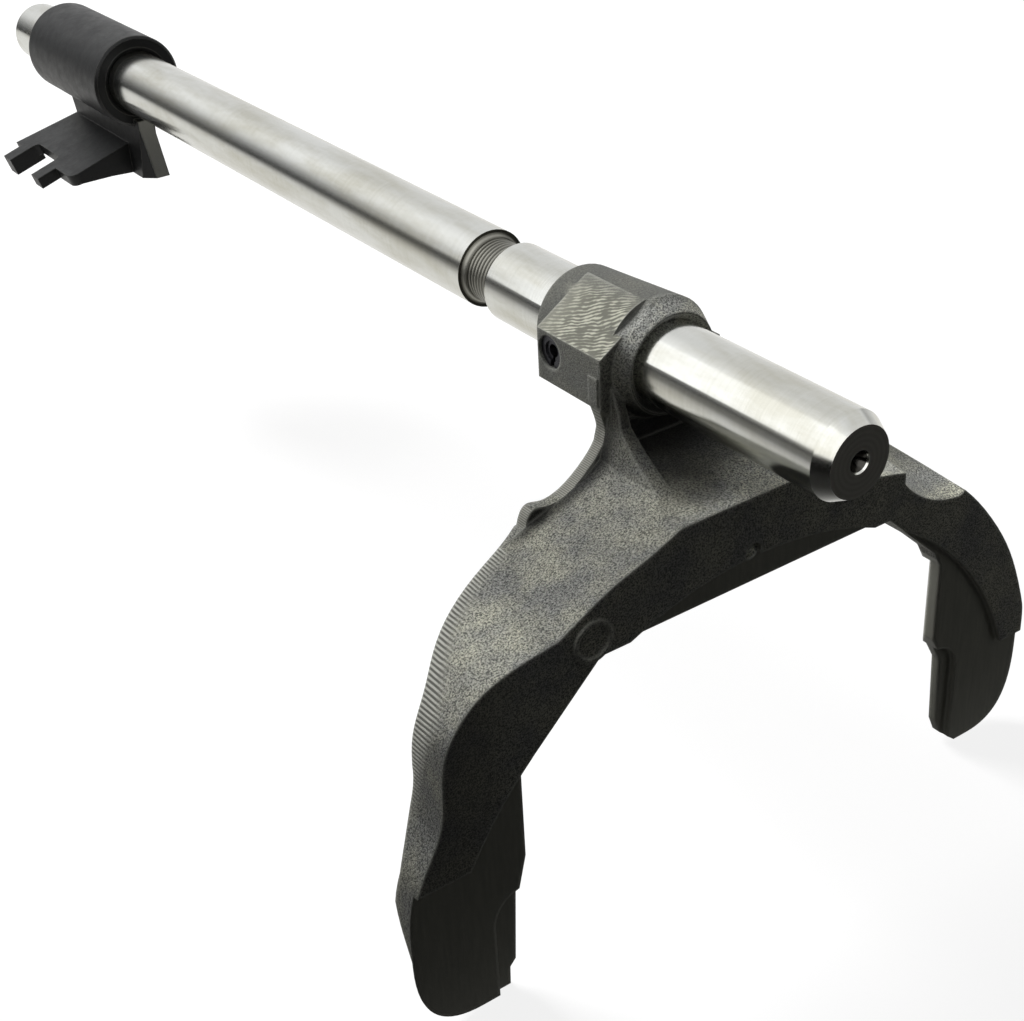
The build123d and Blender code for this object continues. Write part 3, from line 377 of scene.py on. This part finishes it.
# Spring pins: two rolled strips of hardened spring steel, one nested in the other, driven across the hub,
# and a smaller single one in the gate. Heat treatment leaves them blue-black with bare edges.
def spring_steel():
    """Blackened spring steel: dark and slightly glossy, with faint streaks from rolling."""
    material, tree, shader, place = start_material("blackened_spring_steel", metallic=0.9)
    streaks_at = add(tree, "VectorMath", {0: place, 1: (0.3, 2.0, 2.0)}, operation="MULTIPLY")
    streaks = add(tree, "TexNoise", {"Vector": streaks_at, "Scale": 1.0, "Detail": 2.0})
    tone = add(tree, "ValToRGB", {0: streaks})
    tone.color_ramp.elements[0].color = linear("#2a2a2c")
    tone.color_ramp.elements[1].color = linear("#55555a")
    rough = add(tree, "MapRange", {0: streaks, 1: 0.3, 2: 0.7, 3: 0.5, 4: 0.35})
    tree.links.new(tone.outputs[0], shader.inputs["Base Color"])
    tree.links.new(rough.outputs[0], shader.inputs["Roughness"])
    return material


spring_finish = spring_steel()
for pin in ("fork_pin", "fork_pin_core", "gate_pin"):
    wear_material(pin, spring_finish)


# Selector gate: a steel collar with a welded web and a slotted plate, blackened and oiled all over.
# The near end of its lug is dressed on a grinder and shows bare metal at the edges.
GATE_NEAR_END = 330.5


def black_oxide():
    """Oiled black oxide on steel: almost black, with a soft sheen and a fine drawn grain."""
    material, tree, shader, place = start_material("oiled_black_oxide", metallic=0.0, specular=0.26)
    mottle = add(tree, "TexNoise", {"Vector": place, "Scale": 0.25, "Detail": 5.0, "Roughness": 0.65})
    fine = add(tree, "TexNoise", {"Vector": place, "Scale": 2.0, "Detail": 2.0})
    tone = add(tree, "ValToRGB", {0: mottle})
    tone.color_ramp.elements[0].position = 0.3
    tone.color_ramp.elements[0].color = linear("#171718")
    tone.color_ramp.elements[1].position = 0.7
    tone.color_ramp.elements[1].color = linear("#1e1f1f")
    axes = add(tree, "SeparateXYZ", {0: place})
    near_end = add(tree, "Math", {0: axes.outputs["Y"], 1: GATE_NEAR_END + 0.2}, operation="LESS_THAN")
    tone = add(tree, "Mix", {0: near_end, 6: tone, 7: linear("#c4c4be")}, data_type="RGBA").outputs[2]
    softened = add(tree, "Bevel", {"Radius": 0.0006}, samples=4)
    true_normal = add(tree, "NewGeometry").outputs["True Normal"]
    kept = add(tree, "VectorMath", {0: softened, 1: true_normal}, operation="DOT_PRODUCT").outputs["Value"]
    brightened_edges = add(tree, "MapRange", {0: kept, 1: 0.985, 2: 0.84, 3: 0.0, 4: 0.25})
    by_lug = add(tree, "MapRange", {0: axes.outputs["Y"], 1: 336.0, 2: 333.0, 3: 0.0, 4: 1.0})
    brightened_edges = add(tree, "Math", {0: brightened_edges, 1: add(tree, "Math", {0: by_lug, 1: 3.0, 2: 1.0}, operation="MULTIPLY_ADD")},
                 operation="MULTIPLY")
    colour = add(tree, "Mix", {0: brightened_edges, 6: tone, 7: linear("#8e8e88")}, data_type="RGBA")
    rough = add(tree, "MapRange", {0: mottle, 1: 0.3, 2: 0.7, 3: 0.5, 4: 0.36})
    bump = add(tree, "Bump", {"Strength": 0.4, "Distance": 0.0001, "Height": fine, "Normal": softened})
    tree.links.new(colour.outputs[2], shader.inputs["Base Color"])
    tree.links.new(rough.outputs[0], shader.inputs["Roughness"])
    tree.links.new(bump.outputs[0], shader.inputs["Normal"])
    return material


wear_material("selector_gate", black_oxide())


# Floor: a plain pale sheet under the tips of the fork. The camera and glass see it white, with the object's soft
# shadow;
# metal sees a white glow on it that fades out towards the front and the left, and it throws little light back up.
FLOOR_HALF = 4.0


def floor_sheet():
    mesh = bpy.data.meshes.new("floor")
    level = cad_low.z - 0.0004
    corners = [(-FLOOR_HALF, -FLOOR_HALF, level), (FLOOR_HALF, -FLOOR_HALF, level),
               (FLOOR_HALF, FLOOR_HALF, level), (-FLOOR_HALF, FLOOR_HALF, level)]
    mesh.from_pydata(corners, [], [(0, 1, 2, 3)])
    material = bpy.data.materials.new("pale_floor")
    material.use_nodes = True
    tree = material.node_tree
    tree.nodes.clear()
    path = add(tree, "LightPath")
    seen = add(tree, "Math", {0: path.outputs["Is Camera Ray"], 1: path.outputs["Is Transmission Ray"]}, operation="MAXIMUM")
    place = add(tree, "TexCoord").outputs["Object"]
    out = add(tree, "VectorMath", {0: place}, operation="LENGTH").outputs["Value"]
    level_glow = add(tree, "MapRange", {0: out, 1: 0.6, 2: 1.6, 3: 0.86, 4: 1.0}, interpolation_type="SMOOTHSTEP")
    glow = add(tree, "Emission", {"Color": (1.0, 1.0, 1.0, 1.0), "Strength": level_glow})
    shaded = add(tree, "BsdfDiffuse", {"Color": (0.20, 0.20, 0.20, 1.0)})
    white = add(tree, "AddShader", {0: glow, 1: shaded})
    place = add(tree, "SeparateXYZ", {0: place})
    along = place.outputs["Y"]
    fade = add(tree, "MapRange", {0: along, 1: 0.0, 2: 0.12, 3: 0.04, 4: 1.0}, interpolation_type="SMOOTHSTEP")
    outward = add(tree, "Math", {0: place.outputs["X"], 1: -1.0}, operation="MULTIPLY")
    beside = add(tree, "Math", {0: along, 1: -0.35, 2: outward}, operation="MULTIPLY_ADD")
    kept_light = add(tree, "MapRange", {0: beside, 1: 0.03, 2: 0.36, 3: 0.93, 4: 0.2})
    strength = add(tree, "Math", {0: fade, 1: kept_light}, operation="MULTIPLY")
    mirrored = add(tree, "Emission", {"Color": (1.0, 0.99, 0.96, 1.0), "Strength": strength})
    quiet = add(tree, "BsdfDiffuse", {"Color": (0.05, 0.05, 0.05, 1.0)})
    unseen = add(tree, "MixShader", {0: path.outputs["Is Glossy Ray"], 1: quiet, 2: mirrored})
    final = add(tree, "MixShader", {0: seen, 1: unseen, 2: white})
    tree.links.new(final.outputs[0], add(tree, "OutputMaterial").inputs["Surface"])
    mesh.materials.append(material)
    sheet = bpy.data.objects.new("floor", mesh)
    bpy.context.collection.objects.link(sheet)
    return sheet


floor_sheet()


# Light: one large soft box above and behind the object and a weak one low in front on the right, in a pale studio
# whose walls are darker near the ground, which draws the thin dark line along the bright rail.
def soft_box(name, place, aim, width, watts):
    """Adds a square lamp that faces the object. Metal mirrors the room's own window and not the lamp."""
    lamp = bpy.data.lights.new(name, "AREA")
    lamp.shape = "SQUARE"
    lamp.size = width
    lamp.energy = watts
    box = bpy.data.objects.new(name, lamp)
    back = Vector(place) - Vector(aim)
    box.rotation_mode = "QUATERNION"
    box.rotation_quaternion = back.to_track_quat("Z", "Y")
    box.location = place
    box.visible_glossy = False
    bpy.context.collection.objects.link(box)


soft_box("key_light", (-0.31, 0.96, 0.82), (0.0, 0.05, -0.05), 0.5, 21.0)
soft_box("right_fill", (0.38, -0.2, -0.08), (0.08, 0.03, -0.1), 0.2, 0.25)


def studio():
    """World: white to the camera; for the object a pale ceiling over a darker band near the ground."""
    world = bpy.data.worlds.new("studio")
    world.use_nodes = True
    bpy.context.scene.world = world
    tree = world.node_tree
    tree.nodes.clear()
    path = add(tree, "LightPath")
    direction = add(tree, "SeparateXYZ", {0: add(tree, "TexCoord").outputs["Generated"]})
    x, y, z = (direction.outputs[name] for name in "XYZ")
    rise = add(tree, "ValToRGB", {0: z})
    for place, tone in ((0.03, 0.05), (0.13, 0.136), (0.24, 0.32), (0.32, 0.58), (0.39, 0.80)):
        rise.color_ramp.elements.new(place).color = (tone, tone, tone, 1.0)
    rise.color_ramp.elements[0].color = (0.05, 0.05, 0.05, 1.0)
    rise.color_ramp.elements[-1].position = 0.5
    rightward = add(tree, "MapRange", {0: x, 1: -0.15, 2: 0.25, 3: 0.0, 4: 1.0})
    room = add(tree, "Mix", {0: rightward, 6: rise, 7: (0.75, 0.75, 0.75, 1.0)}, data_type="RGBA").outputs[2]
    ahead = add(tree, "MapRange", {0: y, 1: -0.1, 2: 0.35, 3: 0.015, 4: 1.0}, interpolation_type="SMOOTHSTEP")
    above = add(tree, "MapRange", {0: z, 1: 0.3, 2: 0.46, 3: 0.015, 4: 1.0}, interpolation_type="SMOOTHSTEP")
    open_part = add(tree, "Math", {0: ahead, 1: above}, operation="MAXIMUM")
    room = add(tree, "Math", {0: room, 1: open_part}, operation="MULTIPLY")
    room = add(tree, "Math", {0: room, 1: 1.18}, operation="MULTIPLY")
    sloped = add(tree, "Math", {0: z, 1: 0.12, 2: y}, operation="MULTIPLY_ADD")
    near_side = add(tree, "MapRange", {0: sloped, 1: 0.81, 2: 0.79, 3: 0.0, 4: 1.7})
    leftward = add(tree, "MapRange", {0: x, 1: -0.13, 2: -0.20, 3: 0.0, 4: 1.0})
    sill = add(tree, "MapRange", {0: z, 1: 0.13, 2: 0.20, 3: 0.0, 4: 1.0})
    window = add(tree, "Math", {0: near_side, 1: leftward}, operation="MULTIPLY")
    window = add(tree, "Math", {0: window, 1: sill}, operation="MULTIPLY")
    shown = add(tree, "Math", {0: room, 1: window}, operation="MAXIMUM")
    lit = add(tree, "Math", {0: ahead, 1: 0.19}, operation="MULTIPLY")
    glossy = add(tree, "Mix", {0: path.outputs["Is Glossy Ray"], 2: lit, 3: shown}, data_type="FLOAT")
    strength = add(tree, "Mix", {0: path.outputs["Is Camera Ray"], 2: glossy, 3: 1.0}, data_type="FLOAT")
    background = add(tree, "Background", {"Color": (1.0, 1.0, 1.0, 1.0), "Strength": strength})
    tree.links.new(background.outputs[0], add(tree, "OutputWorld").inputs["Surface"])


studio()
bpy.context.scene.view_settings.view_transform = "Standard"


# Camera: a long view along the rail from in front and above, on the side of the gate's prongs.
CAMERA_PLACE = (-0.2214, -0.2092, 0.1724)
CAMERA_RIGHT = (0.8157, -0.5766, -0.0480)
CAMERA_DOWN = (-0.3319, -0.3983, -0.8552)
CAMERA_FORWARD = (0.4739, 0.7134, -0.5163)
CAMERA_LENS = 61.52

lens = bpy.data.cameras.new("camera")
lens.sensor_width = 36.0
lens.lens = CAMERA_LENS
lens.clip_start = 0.01
lens.clip_end = 50.0
camera = bpy.data.objects.new("camera", lens)
columns = (CAMERA_RIGHT, [-c for c in CAMERA_DOWN], [-c for c in CAMERA_FORWARD])
turn = Matrix(columns).transposed()
camera.rotation_mode = "QUATERNION"
camera.rotation_quaternion = turn.to_quaternion()
camera.location = CAMERA_PLACE
bpy.context.collection.objects.link(camera)
bpy.context.scene.camera = camera
